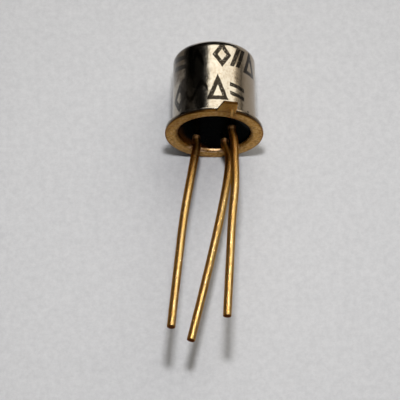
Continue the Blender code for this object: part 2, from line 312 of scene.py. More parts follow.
def toward(x: Signal, y: Signal, bearing: float) -> Signal:
    """How far a place lies towards a bearing, in degrees clockwise from +Y."""
    turn = math.radians(bearing)
    return x * math.sin(turn) + y * math.cos(turn)


class MarkShape(Enum):
    """The plain shapes that the ink marks are made of."""

    DIAMOND = "diamond"
    TRIANGLE = "triangle"
    SLASHES = "slashes"
    BARS = "bars"
    WAVE = "wave"
    CHEVRON = "chevron"
    DOT = "dot"


@dataclass(frozen=True)
class InkMark:
    """One ink mark on the wall of the can.

    across is measured round the wall from the top as it lies, and up from the flange, both in
    millimetres to the middle of the mark. wide and high are half its size.
    """

    shape: MarkShape
    across: float
    up: float
    wide: float
    high: float
    slash_lean: float = 0.35
    bar_slope: float = 0.2
    wave_crest: float = 0.45
    wave_slant: float = 0.72

    def distance(self, around: Signal, height: Signal, stroke: float) -> Signal:
        """How far a place is from the ink.

        Args:
            around: The place round the wall, in millimetres.
            height: The place up the wall, in millimetres.
            stroke: Half the stroke's width, in millimetres.

        Returns:
            The distance, which is below 0 in the ink.
        """
        x, y = around - self.across, height - self.up
        wide, high = self.wide, self.high
        if self.shape is MarkShape.DOT:
            return (x * x + y * y) ** 0.5 - wide
        if self.shape is MarkShape.DIAMOND:
            slope = 1 / math.hypot(1 / wide, 1 / high)
            return abs((abs(x) / wide + abs(y) / high - 1) * slope) - stroke
        if self.shape is MarkShape.TRIANGLE:
            tilt = math.atan2(wide, 2 * high)
            sides = (abs(x) - wide) * math.cos(tilt) + (y + high) * math.sin(tilt)
            return abs(sides.most(-y - high)) - stroke
        if self.shape is MarkShape.SLASHES:
            leaning = (x - y * math.tan(self.slash_lean)) * math.cos(self.slash_lean)
            return (abs(abs(leaning) - wide) - stroke).most(abs(y) - high)
        if self.shape is MarkShape.BARS:
            return (abs(abs(y + x * self.bar_slope) - high) - stroke).most(abs(x) - wide)
        if self.shape is MarkShape.CHEVRON:
            tilt = math.atan2(high, wide)
            arms = abs(y - high / 2 + abs(x) * high / wide) * math.cos(tilt)
            return (arms - stroke).most(abs(x) - wide)
        wave = abs(y - (x * (math.pi / wide)).sine() * (high * self.wave_crest))
        return (wave * self.wave_slant - stroke).most(abs(x) - wide)


@dataclass(frozen=True)
class CanNickel:
    """Bright drawn nickel, a little tarnished, with black ink marks, and shade painted on its sides
    and brim.
    """

    bright: Colour = (0.515, 0.475, 0.405)
    tarnish: Colour = (0.36, 0.29, 0.20)
    painted_right_shade: Colour = (0.26, 0.18, 0.098)
    painted_left_shade: Colour = (0.090, 0.066, 0.042)
    painted_shade_black: Colour = (0.014, 0.010, 0.007)
    speck: Colour = (0.16, 0.13, 0.09)
    ink: Colour = (0.026, 0.021, 0.015)
    wall_radius: float = 2.36
    stroke: float = 0.125
    left_shade_edge: Pair = (-1.20, -1.70)
    right_shade_edge: Pair = (0.95, 1.35)
    foot_band: Pair = (-2.9, -2.5)
    foot_gap_shade: Pair = (-0.25, -0.20)
    left_edge_shade_edge: Pair = (-1.76, -1.60)
    left_edge_shade_start: Pair = (-0.9, -1.3)
    left_shade_fade_edge: Pair = (-1.85, -2.05)
    dents: float = 0.020 * MM
    peel: float = 0.004 * MM
    scratches: float = 0.0016 * MM
    ink_film: float = 0.0012 * MM
    marks: tuple[InkMark, ...] = (
        InkMark(MarkShape.BARS, -2.15, 3.85, 0.80, 0.30),
        InkMark(MarkShape.CHEVRON, -1.00, 3.75, 0.42, 0.85),
        InkMark(MarkShape.DIAMOND, 0.45, 3.92, 0.40, 0.60),
        InkMark(MarkShape.SLASHES, 1.45, 3.88, 0.17, 0.62),
        InkMark(MarkShape.TRIANGLE, 2.40, 3.80, 0.42, 0.58),
        InkMark(MarkShape.DIAMOND, -2.30, 1.62, 0.46, 0.66),
        InkMark(MarkShape.WAVE, -1.05, 1.65, 0.70, 1.10),
        InkMark(MarkShape.TRIANGLE, 0.20, 1.70, 0.44, 0.60),
        InkMark(MarkShape.BARS, 1.38, 1.70, 0.48, 0.28),
        InkMark(MarkShape.DOT, 2.18, 0.62, 0.10, 0.10),
    )

    def ink_cover(self, tree: Tree, place: Signal) -> Signal:
        """Where the ink lies.

        Args:
            tree: The material's tree.
            place: The place in the can's frame.

        Returns:
            1 in the ink and 0 outside.
        """
        x, y, z = tree.split(place)
        wobble = tree.noise(place, 5.0, 3.0) * 0.07 - 0.035
        around = x.bearing(y) * self.wall_radius + wobble
        height = -z + wobble
        nearest = None
        for mark in self.marks:
            distance = mark.distance(around, height, self.stroke)
            nearest = nearest.least(distance) if nearest else distance
        worn = tree.noise(place, 14.0, 3.0, 0.6).beyond(0.30, 0.40)
        spread = x.beyond(-1.0, -2.333) * 0.04
        return (nearest - spread).beyond(0.018, -0.018) * worn

    def dress(self) -> Material:
        """Makes the finish.

        Returns:
            Its material.
        """
        tree = new_material("can_nickel")
        place = tree.can_place()
        x, _, z = tree.split(place)
        cloud = tree.noise(place, 0.9, 4.0, 0.6)
        grain = tree.noise(place, 11.0, 3.0, 0.6)
        drawn = tree.noise(tree.stretched(place, (9.0, 9.0, 0.5)), 1.0, 3.0, 0.6)
        specks = tree.cells(place, 2.6).beyond(0.10, 0.04)
        mottle = tree.noise(place, 7.0, 5.0, 0.75)
        # Painted shade: a dark brown film is laid on the left side of the can as it lies. It is
        # thicker in blotches and higher up the wall, and thinner near the brim at the far left.
        left_shaded = (x + (cloud - 0.5) * 1.8).beyond(*self.left_shade_edge)
        # Painted shade: the right side of the can, as it lies, turns a duller, darker brown.
        right_shaded = (x + (cloud - 0.5) * 0.8).beyond(*self.right_shade_edge)
        low = z.beyond(*self.foot_band)
        # Painted shade: the far left edge of the can goes nearly black, less so near the brim.
        left_edge_shade = (x + low * 0.26 + (mottle - 0.5) * 0.4).beyond(*self.left_edge_shade_edge)
        left_edge_shade = left_edge_shade * x.beyond(*self.left_edge_shade_start)
        left_shade_depth = 0.62 + 0.30 * mottle.beyond(0.36, 0.64) + 0.30 * z.beyond(-2.6, -3.8)
        left_shade_fade = 1.0 - 0.6 * low * x.beyond(*self.left_shade_fade_edge)
        ink = self.ink_cover(tree, place)
        rough = 0.10 + 0.05 * cloud.beyond(0.4, 0.7) + 0.05 * drawn
        coarse = tree.relief(tree.noise(place, 1.3, 2.0), self.dents)
        peel = tree.relief(mottle, self.peel, coarse)
        fine = tree.relief(grain * 0.6 + drawn * 0.4, self.scratches, peel)
        return tree.surface({
            "Base Color": tree.layered(
                self.bright,
                (cloud.beyond(0.42, 0.80) * 0.6, self.tarnish),
                (mottle.beyond(0.46, 0.70) * 0.75, self.tarnish),
                # Painted shade on the right side of the can.
                (right_shaded * 0.65, self.painted_right_shade),
                # Painted shade on the left side of the can.
                (left_shaded * left_shade_depth.least(0.97) * left_shade_fade, self.painted_left_shade),
                # Painted shade: nearly black at the far left edge and on the brim's face in the gap
                # against the flange.
                ((left_edge_shade * 0.85).most(z.beyond(*self.foot_gap_shade) * 0.8), self.painted_shade_black),
                (specks * 0.7, self.speck),
                (ink, self.ink),
            ),
            "Metallic": 1.0,
            "Roughness": rough * (1.0 - ink) + 0.20 * ink,
            "Normal": tree.relief(ink, self.ink_film, fine),
        })


@dataclass(frozen=True)
class EyeletGold:
    """Satin gold plate on the stamped eyelet, with shade, light, a glint and a reflection painted
    on.
    """

    gold: Colour = (0.43, 0.220, 0.036)
    brown_tarnish_and_shade: Colour = (0.17, 0.062, 0.005)
    pale: Colour = (0.64, 0.42, 0.165)
    reflected_lead_gold: Colour = (0.98, 0.66, 0.22)
    painted_glint_gold: Colour = (0.90, 0.60, 0.34)
    shadowed: Colour = (0.035, 0.015, 0.003)
    tab_bearing: float = TAB_BEARING
    tab_edge: Pair = (2.80, 2.86)
    tab_tip: Pair = (3.66, 3.76)
    rim_edge: Pair = (2.66, 2.78)
    lip_edge: Pair = (2.30, 2.16)
    glint_edge: Pair = (2.26, 2.18)
    reflected_lead_at: float = 1.02
    darkening_bearing: float = -60.0
    darkening_edge: Pair = (2.30, 2.62)
    upper_edge: Pair = (1.2, 2.2)
    dents: float = 0.014 * MM
    grit: float = 0.012 * MM

    def dress(self) -> Material:
        """Makes the finish.

        Returns:
            Its material.
        """
        tree = new_material("eyelet_gold")
        place = tree.can_place()
        x, y, z = tree.split(place)
        out = (x * x + y * y) ** 0.5
        cloud = tree.noise(place, 1.4, 4.0, 0.6)
        grain = tree.noise(place, 6.0, 5.0, 0.8)
        blots = tree.noise(tree.stretched(place, (1.0, 1.0, 0.3)), 3.2, 4.0, 0.7)
        pits = tree.cells(place, 4.2).beyond(0.22, 0.08)
        on_tab = out.beyond(*self.tab_edge)
        # Painted shade: a brown line along the flange's rim, a darker lip round the cup that is
        # darkest at its lower left and faintest at the top, and a dark tip on the tab.
        outline = out.beyond(*self.rim_edge) * (1.0 - on_tab)
        lip = out.beyond(*self.lip_edge)
        lip_shade = lip * (x * 1.3 + y * 0.4).beyond(-0.8, -2.0)
        # Painted highlight: a dashed glint along the lower lip round the cup.
        glint = out.beyond(*self.glint_edge) * y.beyond(-1.4, -1.7)
        # Painted reflection: a bright streak at the foot of the tab, where the nearest lead shows
        # in the gold.
        beside = abs(x - self.reflected_lead_at + (cloud - 0.5) * 0.3)
        reflected_lead = beside.beyond(0.10, 0.03) * y.beyond(1.9, 2.3)
        reflected_lead = reflected_lead * (y + (grain - 0.5) * 0.6).beyond(3.10, 2.85)
        # Painted light: the pale grain shows more on the left and right sides, lower on the face
        # and at the top, so these parts read lighter.
        light = (abs(x) - y * 0.4 + (cloud - 0.5) * 2.5).beyond(0.0, 2.6)
        upper = y.beyond(*self.upper_edge)
        pale = 0.30 + 0.45 * light + 0.42 * upper
        tip = toward(x, y, self.tab_bearing).beyond(*self.tab_tip)
        # Darker towards the upper left of the face, near the rim.
        upper_left_darkening = (toward(x, y, self.darkening_bearing) + (cloud - 0.5) * 0.8).beyond(*self.darkening_edge)
        dark = (pits * 0.6).most(outline * 0.75).most(lip * (0.45 - 0.40 * upper))
        dark = dark.most(lip_shade * 0.60).most(tip * 0.8).most(upper_left_darkening * 0.45)
        side = z.beyond(-0.006, -0.030) * y.beyond(0.3, 1.0) * out.beyond(2.60, 2.70)
        coarse = tree.relief(cloud, self.dents)
        fine = tree.relief(grain - pits * 0.6, self.grit, coarse)
        return tree.surface({
            "Base Color": tree.layered(
                self.gold,
                # The brown blots thin out at the top: painted light.
                (blots.beyond(0.44, 0.66) * (0.85 - 0.5 * upper), self.brown_tarnish_and_shade),
                (grain.beyond(0.44, 0.62) * pale * (1.0 - 0.6 * on_tab), self.pale),
                # The pits are real; the rest of this brown is painted shade.
                (dark, self.brown_tarnish_and_shade),
                # Painted reflection of a lead at the foot of the tab.
                (reflected_lead, self.reflected_lead_gold),
                # Painted highlight on the lower lip.
                (glint * grain.beyond(0.42, 0.54) * 0.8, self.painted_glint_gold),
                (side * 0.9, self.shadowed),
            ),
            "Metallic": 1.0,
            "Roughness": 0.26 + 0.16 * grain + 0.10 * lip,
            "Specular Tint": (1.0, 0.92, 0.84, 1.0),
            "Normal": fine,
        })


@dataclass(frozen=True)
class WireGold:
    """Gold plate on drawn wire, with fine lines along it and brown tarnish, shade painted on its
    flanks and a painted glint where it leaves the glass.
    """

    gold: Colour = (0.62, 0.40, 0.135)
    brown_tarnish_and_shade: Colour = (0.20, 0.080, 0.010)
    rust: Colour = (0.16, 0.056, 0.006)
    pale: Colour = (0.86, 0.70, 0.42)
    seal_ring_glint: Colour = (0.98, 0.52, 0.22)
    root_run: Pair = (4.8, 0.5)
    seal_ring: Pair = (0.10, -0.05)
    dents: float = 0.008 * MM
    grit: float = 0.017 * MM

    def dress(self) -> Material:
        """Makes the finish.

        Returns:
            Its material.
        """
        tree = new_material("wire_gold")
        place = tree.wire_place()
        x, _, along = tree.split(place)
        lines = tree.noise(tree.stretched(place, (16.0, 16.0, 1.2)), 1.0, 3.0, 0.6)
        patches = tree.noise(tree.stretched(place, (2.2, 2.2, 0.9)), 1.0, 4.0, 0.6)
        grain = tree.noise(place, 13.0, 4.0, 0.8)
        nicks = tree.cells(tree.stretched(place, (1.0, 1.0, 0.6)), 3.4).beyond(0.14, 0.05)
        root = along.beyond(*self.root_run)
        around = x + (patches - 0.5) * 0.10 + (grain - 0.5) * 0.06
        # Painted shade: both flanks of the wire are browned, the left one fully and the right one
        # less, as a round wire is shaded on its sides.
        flank_shade = around.beyond(0.045, -0.045).most(around.beyond(0.10, 0.20) * 0.65)
        coarse = tree.relief(patches, self.dents)
        fine = tree.relief(lines * 0.5 + grain - nicks, self.grit, coarse)
        return tree.surface({
            "Base Color": tree.layered(
                self.gold,
                (patches.beyond(0.50, 0.85) * 0.8, self.brown_tarnish_and_shade),
                (lines.beyond(0.42, 0.70) * 0.6, self.pale),
                (grain.beyond(0.46, 0.66) * (0.35 + 0.4 * root), self.brown_tarnish_and_shade),
                # The nicks are real; the flanks are painted shade.
                ((nicks * 0.5).most(flank_shade * 0.75), self.brown_tarnish_and_shade),
                (root * (0.65 + 0.35 * grain.beyond(0.40, 0.55)), self.rust),
                # Painted highlight: a bright copper-orange glint round the wire where it leaves the
                # glass.
                (along.beyond(*self.seal_ring) * 0.85, self.seal_ring_glint),
            ),
            "Metallic": 1.0,
            "Roughness": 0.12 + 0.14 * patches + 0.10 * root,
            "Specular Tint": (0.62, 0.40, 0.16, 1.0),
            "Normal": fine,
        })


@dataclass(frozen=True)
class CutEnd:
    """The wire's cut end: dull iron alloy with brown tarnish and shear lines."""

    core: Colour = (0.060, 0.022, 0.006)
    smear: Colour = (0.24, 0.105, 0.024)
    rim_edge: Pair = (0.15, 0.23)
    shear: float = 0.004 * MM

    def dress(self) -> Material:
        """Makes the finish.

        Returns:
            Its material.
        """
        tree = new_material("cut_end")
        place = tree.wire_place()
        x, y, _ = tree.split(place)
        lines = tree.noise(tree.stretched(place, (3.0, 30.0, 3.0)), 1.0, 3.0, 0.6)
        rim = ((x * x + y * y) ** 0.5).beyond(*self.rim_edge)
        smeared = (lines * 0.5 + rim * 0.6).least(1.0)
        return tree.surface({
            "Base Color": tree.layered(self.core, (smeared, self.smear)),
            "Metallic": 0.9,
            "Roughness": 0.42 + 0.2 * lines,
            "Specular Tint": (0.50, 0.28, 0.12, 1.0),
            "Normal": tree.relief(lines, self.shear),
        })


@dataclass(frozen=True)
class SealGlass:
    """Glossy glass, nearly black, with a green tint and reflections painted near its edge."""

    dark: Colour = (0.0002, 0.0006, 0.0005)
    tint: Colour = (0.0006, 0.0022, 0.0018)
    sheen: Colour = (0.050, 0.056, 0.058)
    reflected_lip_gold: Colour = (0.085, 0.028, 0.004)
    bubble: Colour = (0.006, 0.010, 0.009)
    wall_edge: Pair = (1.60, 2.0)
    flow: float = 0.02 * MM
    bumps: float = 0.006 * MM

    def dress(self) -> Material:
        """Makes the finish.

        Returns:
            Its material.
        """
        tree = new_material("seal_glass")
        place = tree.can_place()
        x, y, _ = tree.split(place)
        cloud = tree.noise(place, 1.1, 3.0)
        bubbles = tree.cells(place, 3.2).beyond(0.09, 0.04)
        edge = ((x * x + y * y) ** 0.5).beyond(*self.wall_edge)
        return tree.surface({
            "Base Color": tree.layered(
                self.dark,
                (cloud.beyond(0.45, 0.75), self.tint),
                # Painted reflections near the glass's edge: a grey sheen at the upper right and the
                # lip's gold at the lower left.
                (edge * (x + y).beyond(1.9, 2.7), self.sheen),
                (edge * (x + y * 0.6).beyond(-1.3, -2.3), self.reflected_lip_gold),
                (bubbles * 0.6, self.bubble),
            ),
            "Roughness": 0.22 + 0.10 * cloud,
            "Normal": tree.relief(bubbles, self.bumps, tree.relief(cloud, self.flow)),
            "Specular IOR Level": 0.003,
        })


@dataclass(frozen=True)
class ChipSilicon:
    """Polished silicon with a faint oxide tint and the grid of its pattern."""

    grey: Colour = (0.17, 0.18, 0.22)
    oxide: Colour = (0.22, 0.16, 0.26)
    track_height: float = 0.0008 * MM

    def dress(self) -> Material:
        """Makes the finish.

        Returns:
            Its material.
        """
        tree = new_material("chip_silicon")
        place = tree.can_place()
        cloud = tree.noise(place, 4.0, 2.0)
        tracks = tree.cells(tree.stretched(place, (40.0, 40.0, 1.0)), 1.0)
        return tree.surface({
            "Base Color": tree.layered(self.grey, (cloud, self.oxide)),
            "Metallic": 0.55,
            "Roughness": 0.12 + 0.15 * tracks,
            "Normal": tree.relief(tracks, self.track_height),
        })


@dataclass(frozen=True)
class BondGold:
    """Soft bright gold of the preform and the bond wires."""

    gold: Colour = (0.87, 0.64, 0.27)
    deep: Colour = (0.66, 0.42, 0.14)
    grain: float = 0.001 * MM

    def dress(self) -> Material:
        """Makes the finish.

        Returns:
            Its material.
        """
        tree = new_material("bond_gold")
        cloud = tree.noise(tree.can_place(), 9.0, 3.0)
        return tree.surface({
            "Base Color": tree.layered(self.gold, (cloud.beyond(0.4, 0.8), self.deep)),
            "Metallic": 1.0,
            "Roughness": 0.18 + 0.15 * cloud,
            "Normal": tree.relief(cloud, self.grain),
        })


@dataclass(frozen=True)
class Paper:
    """Plain pale paper."""

    pale: Colour = (0.678, 0.688, 0.712)
    shade: Colour = (0.576, 0.586, 0.610)
    dust: Colour = (0.20, 0.19, 0.18)
    tooth: float = 0.016 * MM

    def dress(self) -> Material:
        """Makes the finish.

        Returns:
            Its material.
        """
        tree = new_material("paper")
        place = tree.stretched(tree.object_place(), (1 / MM,) * 3)
        fibres = tree.noise(place, 2.6, 5.0, 0.8)
        specks = tree.cells(place, 0.23).beyond(0.020, 0.012)
        smudges = tree.noise(place, 0.7, 2.0) - 0.5
        shaded = fibres.beyond(0.25, 0.75) + smudges * 0.4
        return tree.surface({
            "Base Color": tree.layered(self.pale, (shaded, self.shade), (specks * 0.6, self.dust)),
            "Roughness": 0.95,
            "Specular IOR Level": 0.2,
            "Normal": tree.relief(fibres, self.tooth),
        })


@dataclass(frozen=True)
class Corner:
    """A corner of a half section: radius from the axis, height into the can, and its rounding."""

    radius: float
    height: float
    rounding: float = 0.0
    steps: int = 6


class Part(Enum):
    """Which parts of a mesh are rounded."""

    CORNERS = "VERTICES"
    EDGES = "EDGES"


class Joining(Enum):
    """What a shape does to the object that it meets."""

    ADD = "UNION"
    CUT = "DIFFERENCE"


def rounded(shape: Shape, part: Part, geom: list, offset: float, steps: int) -> None:
    """Rounds corners or edges of a shape.

    Args:
        shape: The shape.
        part: What is rounded.
        geom: The vertices or edges.
        offset: How far the rounding reaches from each.
        steps: Its segments.
    """
    bmesh.ops.bevel(
        shape, geom=geom, offset=offset, offset_type="OFFSET", segments=steps, profile=0.5,
        affect=part.value, material=-1,
    )


def section(shape: Shape, corners: list[Corner]) -> list[bmesh.types.BMEdge]:
    """Draws a half section as a wire outline with rounded corners.

    Args:
        shape: The mesh to draw in.
        corners: The section's corners in order.

    Returns:
        The outline's edges, without those on the axis.
    """
    drawn = [shape.verts.new((c.radius, 0.0, -c.height)) for c in corners]
    shape.faces.new(drawn)
    for vert, corner in zip(drawn, corners):
        if corner.rounding:
            rounded(shape, Part.CORNERS, [vert], corner.rounding, corner.steps)
    bmesh.ops.delete(shape, geom=list(shape.faces), context="FACES_ONLY")
    on_axis = [e for e in shape.edges if all(v.co.x < MERGE for v in e.verts)]
    bmesh.ops.delete(shape, geom=on_axis, context="EDGES")
    return list(shape.edges)


def turned(corners: list[Corner], facets: int, spot: Pair = (0.0, 0.0)) -> Shape:
    """Turns a half section round an axis along Z.

    Args:
        corners: The section's corners in order.
        facets: How many steps make the full turn.
        spot: Where the axis stands.

    Returns:
        The closed shape.
    """
    shape = bmesh.new()
    edges = section(shape, corners)
    bmesh.ops.spin(
        shape, geom=list(shape.verts) + edges, cent=(0, 0, 0), axis=(0, 0, 1), angle=2 * math.pi,
        steps=facets, use_merge=True,
    )
    bmesh.ops.remove_doubles(shape, verts=shape.verts, dist=MERGE)
    bmesh.ops.recalc_face_normals(shape, faces=shape.faces)
    bmesh.ops.translate(shape, verts=shape.verts, vec=(*spot, 0.0))
    return shape


def rod(radius: float, low: float, high: float) -> list[Corner]:
    """The half section of a plain rod."""
    return [Corner(0.0, low), Corner(radius, low), Corner(radius, high), Corner(0.0, high)]


def at_bearing(bearing: float, radius: float) -> Pair:
    """A spot by its bearing in degrees, clockwise from +Y as seen from the leads."""
    turn = math.radians(bearing)
    return radius * math.sin(turn), radius * math.cos(turn)


def placed(name: str, data: bpy.types.ID) -> Thing:
    """Puts a new object in the scene.

    Args:
        name: The object's name.
        data: Its mesh, lamp or camera.

    Returns:
        The object, at the origin.
    """
    made = bpy.data.objects.new(name, data)
    bpy.context.scene.collection.objects.link(made)
    return made


def as_object(name: str, shape: Shape) -> Thing:
    """Makes an object of a shape, shaded smooth between its sharp edges.

    Args:
        name: The object's name.
        shape: The shape, which is used up.

    Returns:
        The object, at the origin.
    """
    mesh = bpy.data.meshes.new(name)
    shape.to_mesh(mesh)
    shape.free()
    mesh.shade_smooth()
    mesh.set_sharp_from_angle(angle=math.radians(SHARP_ANGLE))
    return placed(name, mesh)


def combined(base: Thing, tool_shape: Shape, joining: Joining) -> None:
    """Cuts a shape from an object or joins it on, and keeps the result as the object's mesh.

    Args:
        base: The object to change.
        tool_shape: The shape that cuts or joins, which is used up.
        joining: Which of the two.
    """
    tool = as_object(base.name + "_tool", tool_shape)
    boolean = base.modifiers.new("shape", "BOOLEAN")
    boolean.solver, boolean.operation, boolean.object = "EXACT", joining.value, tool
    graph = bpy.context.evaluated_depsgraph_get()
    result = bpy.data.meshes.new_from_object(base.evaluated_get(graph))
    base.modifiers.remove(boolean)
    old = base.data
    base.data = result
    result.name = base.name
    bpy.data.meshes.remove(old)
    bpy.data.meshes.remove(tool.data)


def lay_down(piece: Thing, slot: str, node: str, *finishes: Material) -> None:
    """Lays a finished piece on the paper in place of its CAD node.

    Args:
        piece: The piece, still in the can's own frame.
        slot: The name of a material slot; it is not used.
        node: The CAD node that it stands for.
        finishes: Its materials.
    """
    piece.data.transform(LIE.matrix())
    for finish in finishes:
        piece.data.materials.append(finish)
    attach(piece, "root")
    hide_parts(node)
    log.info("%s: %d faces, in place of %s", piece.name, len(piece.data.polygons), node)


def sheet(name: str, stand: Matrix, finish: Material) -> Thing:
    """Makes a flat sheet that belongs to the studio.

    Args:
        name: The sheet's name.
        stand: Where it stands, from a unit square on the floor.
        finish: Its material.

    Returns:
        The sheet.
    """
    shape = bmesh.new()
    bmesh.ops.create_grid(shape, x_segments=1, y_segments=1, size=0.5)
    bmesh.ops.transform(shape, matrix=stand, verts=shape.verts)
    made = as_object(name, shape)
    made.data.materials.append(finish)
    return made


def steady_shading(piece: Thing) -> None:
    """Keeps flat faces flat beside rounded edges."""
    weighted = piece.modifiers.new("steady_shading", "WEIGHTED_NORMAL")
    weighted.keep_sharp, weighted.weight = True, 100


@dataclass(frozen=True)
class DrawnCap:
    """The drawn nickel can with its rounded top edge and its brim."""

    foot: float = 0.155 * MM
    top: float = 4.98 * MM
    wall: float = 0.18 * MM
    foot_radius: float = 2.40 * MM
    draft: float = 0.07 * MM
    top_round: float = 0.50 * MM
    brim_radius: float = 2.77 * MM
    bend_round: float = 0.12 * MM
    edge_round: float = 0.03 * MM
    facets: int = 192

    def corners(self) -> list[Corner]:
        """Draws the can's half section.

        Returns:
            Its corners.
        """
        narrow = self.foot_radius - self.draft
        inside = self.top_round - self.wall
        return [
            Corner(0.0, self.top),
            Corner(narrow, self.top, self.top_round, 16),
            Corner(self.foot_radius, self.foot + self.wall, self.bend_round, 8),
            Corner(self.brim_radius, self.foot + self.wall, self.edge_round, 4),
            Corner(self.brim_radius, self.foot, self.edge_round, 4),
            Corner(self.foot_radius - self.wall, self.foot, self.bend_round + self.wall, 10),
            Corner(narrow - self.wall, self.top - self.wall, inside, 10),
            Corner(0.0, self.top - self.wall),
        ]

    def build(self) -> None:
        """Makes the can and dresses it."""
        cap = as_object("drawn_cap", turned(self.corners(), self.facets))
        steady_shading(cap)
        lay_down(cap, "cap_nickel", "cap", CanNickel().dress())


@dataclass(frozen=True)
class Eyelet:
    """The gold eyelet: flange, tab, rounded lip, cup and deck."""

    flange_radius: float = 2.80 * MM
    thickness: float = 0.15 * MM
    edge_round: float = 0.04 * MM
    cup_radius: float = 2.07 * MM
    cup_wall: float = 0.13 * MM
    lip_round: float = 0.16 * MM
    corner_round: float = 0.20 * MM
    inner_round: float = 0.07 * MM
    deck_height: float = 1.20 * MM
    deck_thickness: float = 0.16 * MM
    tab_bearing: float = TAB_BEARING
    tab_length: float = 1.00 * MM
    tab_tip: float = 0.84 * MM
    tab_root: float = 1.12 * MM
    tab_root_round: float = 0.14 * MM
    tab_corner_round: float = 0.07 * MM
    tab_overlap: float = 0.20 * MM
    hole_diameter: float = 0.98 * MM
    hole_circle: float = LEAD_CIRCLE
    hole_bearings: tuple[float, ...] = LEAD_BEARINGS[:2]
    facets: int = 192
    hole_facets: int = 48

    def corners(self) -> list[Corner]:
        """Draws the eyelet's half section.

        Returns:
            Its corners.
        """
        wall = self.cup_radius + self.cup_wall
        under = self.deck_height - self.deck_thickness
        edge = self.edge_round
        return [
            Corner(self.cup_radius, 0.0, self.lip_round, 10),
            Corner(self.flange_radius, 0.0, edge, 5),
            Corner(self.flange_radius, self.thickness, edge, 5),
            Corner(wall, self.thickness, edge, 5),
            Corner(wall, self.deck_height, self.corner_round, 8),
            Corner(0.0, self.deck_height),
            Corner(0.0, under),
            Corner(self.cup_radius, under, self.inner_round, 5),
        ]

    def tab(self) -> Shape:
        """Makes the tab as a plate with flared roots and rounded edges.

        Returns:
            The plate, at its bearing.
        """
        tip = self.flange_radius + self.tab_length
        spread = math.degrees(math.asin(self.tab_root / 2 / self.flange_radius))
        foot_x, foot_y = at_bearing(spread, self.flange_radius)
        heel = foot_x + self.tab_root_round
        half = [
            (heel, foot_y - self.tab_overlap),
            (heel, foot_y - 0.4 * self.tab_root_round),
            (foot_x, foot_y),
            (self.tab_tip / 2, tip),
        ]
        outline = half + [(-x, y) for x, y in reversed(half)]
        shape = bmesh.new()
        corners = [shape.verts.new((x, y, 0.0)) for x, y in outline]
        shape.faces.new(corners)
        rounded(shape, Part.CORNERS, [corners[2], corners[5]], self.tab_root_round / 2, 8)
        rounded(shape, Part.CORNERS, corners[3:5], self.tab_corner_round, 8)
        plate = bmesh.ops.extrude_face_region(shape, geom=list(shape.faces))
        raised = [v for v in plate["geom"] if isinstance(v, bmesh.types.BMVert)]
        bmesh.ops.translate(shape, verts=raised, vec=(0.0, 0.0, -self.thickness))
        bmesh.ops.recalc_face_normals(shape, faces=shape.faces)
        rims = [e for e in shape.edges if abs(e.verts[0].co.z - e.verts[1].co.z) < 10 * MERGE]
        rounded(shape, Part.EDGES, rims, self.edge_round * 0.9, 5)
        turn = Matrix.Rotation(-math.radians(self.tab_bearing), 4, "Z")
        bmesh.ops.transform(shape, matrix=turn, verts=shape.verts)
        return shape

    def build(self) -> None:
        """Makes the eyelet and dresses it."""
        eyelet = as_object("gold_eyelet", turned(self.corners(), self.facets))
        combined(eyelet, self.tab(), Joining.ADD)
        low, high = self.deck_height - 2 * self.deck_thickness, self.deck_height * 1.2
        hole = rod(self.hole_diameter / 2, low, high)
        for bearing in self.hole_bearings:
            spot = at_bearing(bearing, self.hole_circle)
            combined(eyelet, turned(hole, self.hole_facets, spot), Joining.CUT)
        steady_shading(eyelet)
        lay_down(eyelet, "header_gold", "header", EyeletGold().dress())


@dataclass(frozen=True)
class Seal:
    """The dark glass that fills the cup and climbs its wall and the leads."""

    radius: float = 2.065 * MM
    recess: float = 0.24 * MM
    back: float = 1.035 * MM
    back_round: float = 0.20 * MM
    wall_climb: float = 0.05 * MM
    lead_climb: float = 0.05 * MM
    lip: float = 0.004 * MM
    lead_diameter: float = LEAD_DIAMETER
    lead_circle: float = LEAD_CIRCLE
    neck_diameter: float = 0.97 * MM
    neck_top: float = 1.20 * MM
    gap: float = 0.005 * MM
    bearings: tuple[float, ...] = LEAD_BEARINGS
    neck_bearings: tuple[float, ...] = LEAD_BEARINGS[:2]
    facets: int = 160
    collar_facets: int = 64

    def middle(self) -> float:
        """The height at which collars and necks meet, inside the glass."""
        return (self.recess + self.back) / 2

    def corners(self) -> list[Corner]:
        """Draws the glass body's half section, whose edge climbs the cup's wall.

        Returns:
            Its corners.
        """
        inner, edge = self.radius - self.lip, self.recess - self.wall_climb
        return [
            Corner(0.0, self.recess),
            Corner(inner, self.recess, self.wall_climb, 10),
            Corner(inner, edge),
            Corner(self.radius, edge),
            Corner(self.radius, self.back, self.back_round, 8),
            Corner(0.0, self.back),
        ]

    def collar(self) -> list[Corner]:
        """Draws the half section of the glass that climbs one lead.

        Returns:
            Its corners.
        """
        wire, climb = self.lead_diameter / 2 + self.gap, self.lead_climb
        edge, spread = self.recess - climb, wire + 1.5 * climb
        return [
            Corner(0.0, edge),
            Corner(wire + self.lip, edge),
            Corner(wire + self.lip, self.recess, climb * 0.9, 10),
            Corner(spread, self.recess + self.lip / 8),
            Corner(spread, self.middle()),
            Corner(0.0, self.middle()),
        ]

    def build(self) -> None:
        """Makes the glass and dresses it."""
        seal = as_object("dark_seal", turned(self.corners(), self.facets))
        bore = rod(self.lead_diameter / 2 + self.gap, -self.back, 2 * self.back)
        neck = rod(self.neck_diameter / 2, self.middle(), self.neck_top)
        for bearing in self.bearings:
            spot = at_bearing(bearing, self.lead_circle)
            combined(seal, turned(self.collar(), self.collar_facets, spot), Joining.ADD)
            if bearing in self.neck_bearings:
                combined(seal, turned(neck, self.collar_facets, spot), Joining.ADD)
            combined(seal, turned(bore, self.collar_facets, spot), Joining.CUT)
        steady_shading(seal)
        lay_down(seal, "seal_glass", "glass_seal", SealGlass().dress())


